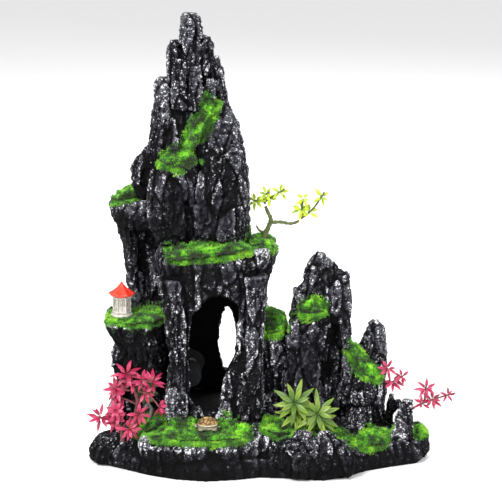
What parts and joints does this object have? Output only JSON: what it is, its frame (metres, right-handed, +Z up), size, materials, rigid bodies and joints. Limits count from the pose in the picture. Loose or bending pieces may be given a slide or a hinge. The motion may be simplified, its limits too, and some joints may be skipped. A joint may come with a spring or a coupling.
{
  "type": "bubbling ornament",
  "caption": "Aquarium rockery ornament with a swim-through cave, mossy ledges, plastic plants, a small pavilion and a plug-in air stone that sends bubbles out of the cave.",
  "frame": {"origin": "middle of the base's flat underside", "axes": "+Z up, towards the main peak's tip; -Y to the front, where the cave opens; +X to the right as seen from the front"},
  "size_m": [0.2444, 0.1017, 0.299],
  "materials": {
    "rock": "cast polyresin, near-black with pale dry-brushed ridges",
    "moss": "green flock on painted resin",
    "red_leaf": "moulded plastic, crimson to pink",
    "green_leaf": "moulded plastic, yellow-green",
    "brown_stem": "moulded plastic, brown",
    "green_stem": "moulded plastic, dark olive",
    "dark_green_leaf": "painted resin, dark green",
    "white_wall": "painted resin, off-white",
    "red_roof": "painted resin, coral red",
    "shell_brown": "painted resin, tan and brown",
    "black_rubber": "moulded rubber, dull",
    "clear_plastic": "clear to milky plastic",
    "mineral": "sintered mineral, grainy"
  },
  "bodies": {
    "ornament": {"arch_horn_rock": "rock", "base_rock": "rock", "cave_rock": "rock", "fang_rock": "rock", "far_right_rock": "rock", "front_boulder": "rock", "green_plant_left": "green_leaf", "green_plant_right": "green_leaf", "left_ledge_rock": "rock", "left_pillar_rock": "rock", "main_peak_rock": "rock", "moss_far_right": "moss", "moss_ground_corner": "moss", "moss_ground_far": "moss", "moss_ground_left": "moss", "moss_ground_right": "moss", "moss_gully_ledge": "moss", "moss_gully_upper": "moss", "moss_left_ledge": "moss", "moss_pillar_top": "moss", "moss_right_peak_ledge": "moss", "moss_saddle": "moss", "moss_shelf": "moss", "moss_spire_ramp": "moss", "moss_tree_shelf": "moss", "pavilion_plinth": "white_wall", "pavilion_roof": "red_roof", "pavilion_walls": "white_wall", "pink_twig_fang": "red_leaf", "pink_twig_spire": "red_leaf", "red_bush_flower": "red_leaf", "red_bush_left_spray": "red_leaf", "red_bush_low_spray": "red_leaf", "red_bush_right_spray": "red_leaf", "red_bush_stem": "brown_stem", "red_tree_crown": "red_leaf", "red_tree_drooping_spray": "red_leaf", "red_tree_side_spray": "red_leaf", "red_tree_trunk": "brown_stem", "relief_bonsai_crown": "dark_green_leaf", "relief_bonsai_trunk": "brown_stem", "right_peak_rock": "rock", "right_spire_rock": "rock", "saddle_rock": "rock", "shelf_tree_left_spray": "green_leaf", "shelf_tree_right_spray": "green_leaf", "shelf_tree_trunk": "green_stem", "toe_rock": "rock", "turtle_body": "shell_brown", "turtle_shell": "shell_brown"},
    "cartridge": {"rear_stopper": "black_rubber", "air_inlet_barb": "clear_plastic", "coupling_sleeve": "clear_plastic", "stone_nipple": "clear_plastic", "air_stone": "mineral"}
  },
  "joints": [
    {"name": "cartridge_pull", "type": "slide", "parent": "ornament", "child": "cartridge", "axis": [0, 1, 0], "range_m": [0, 0.05]}
  ]
}
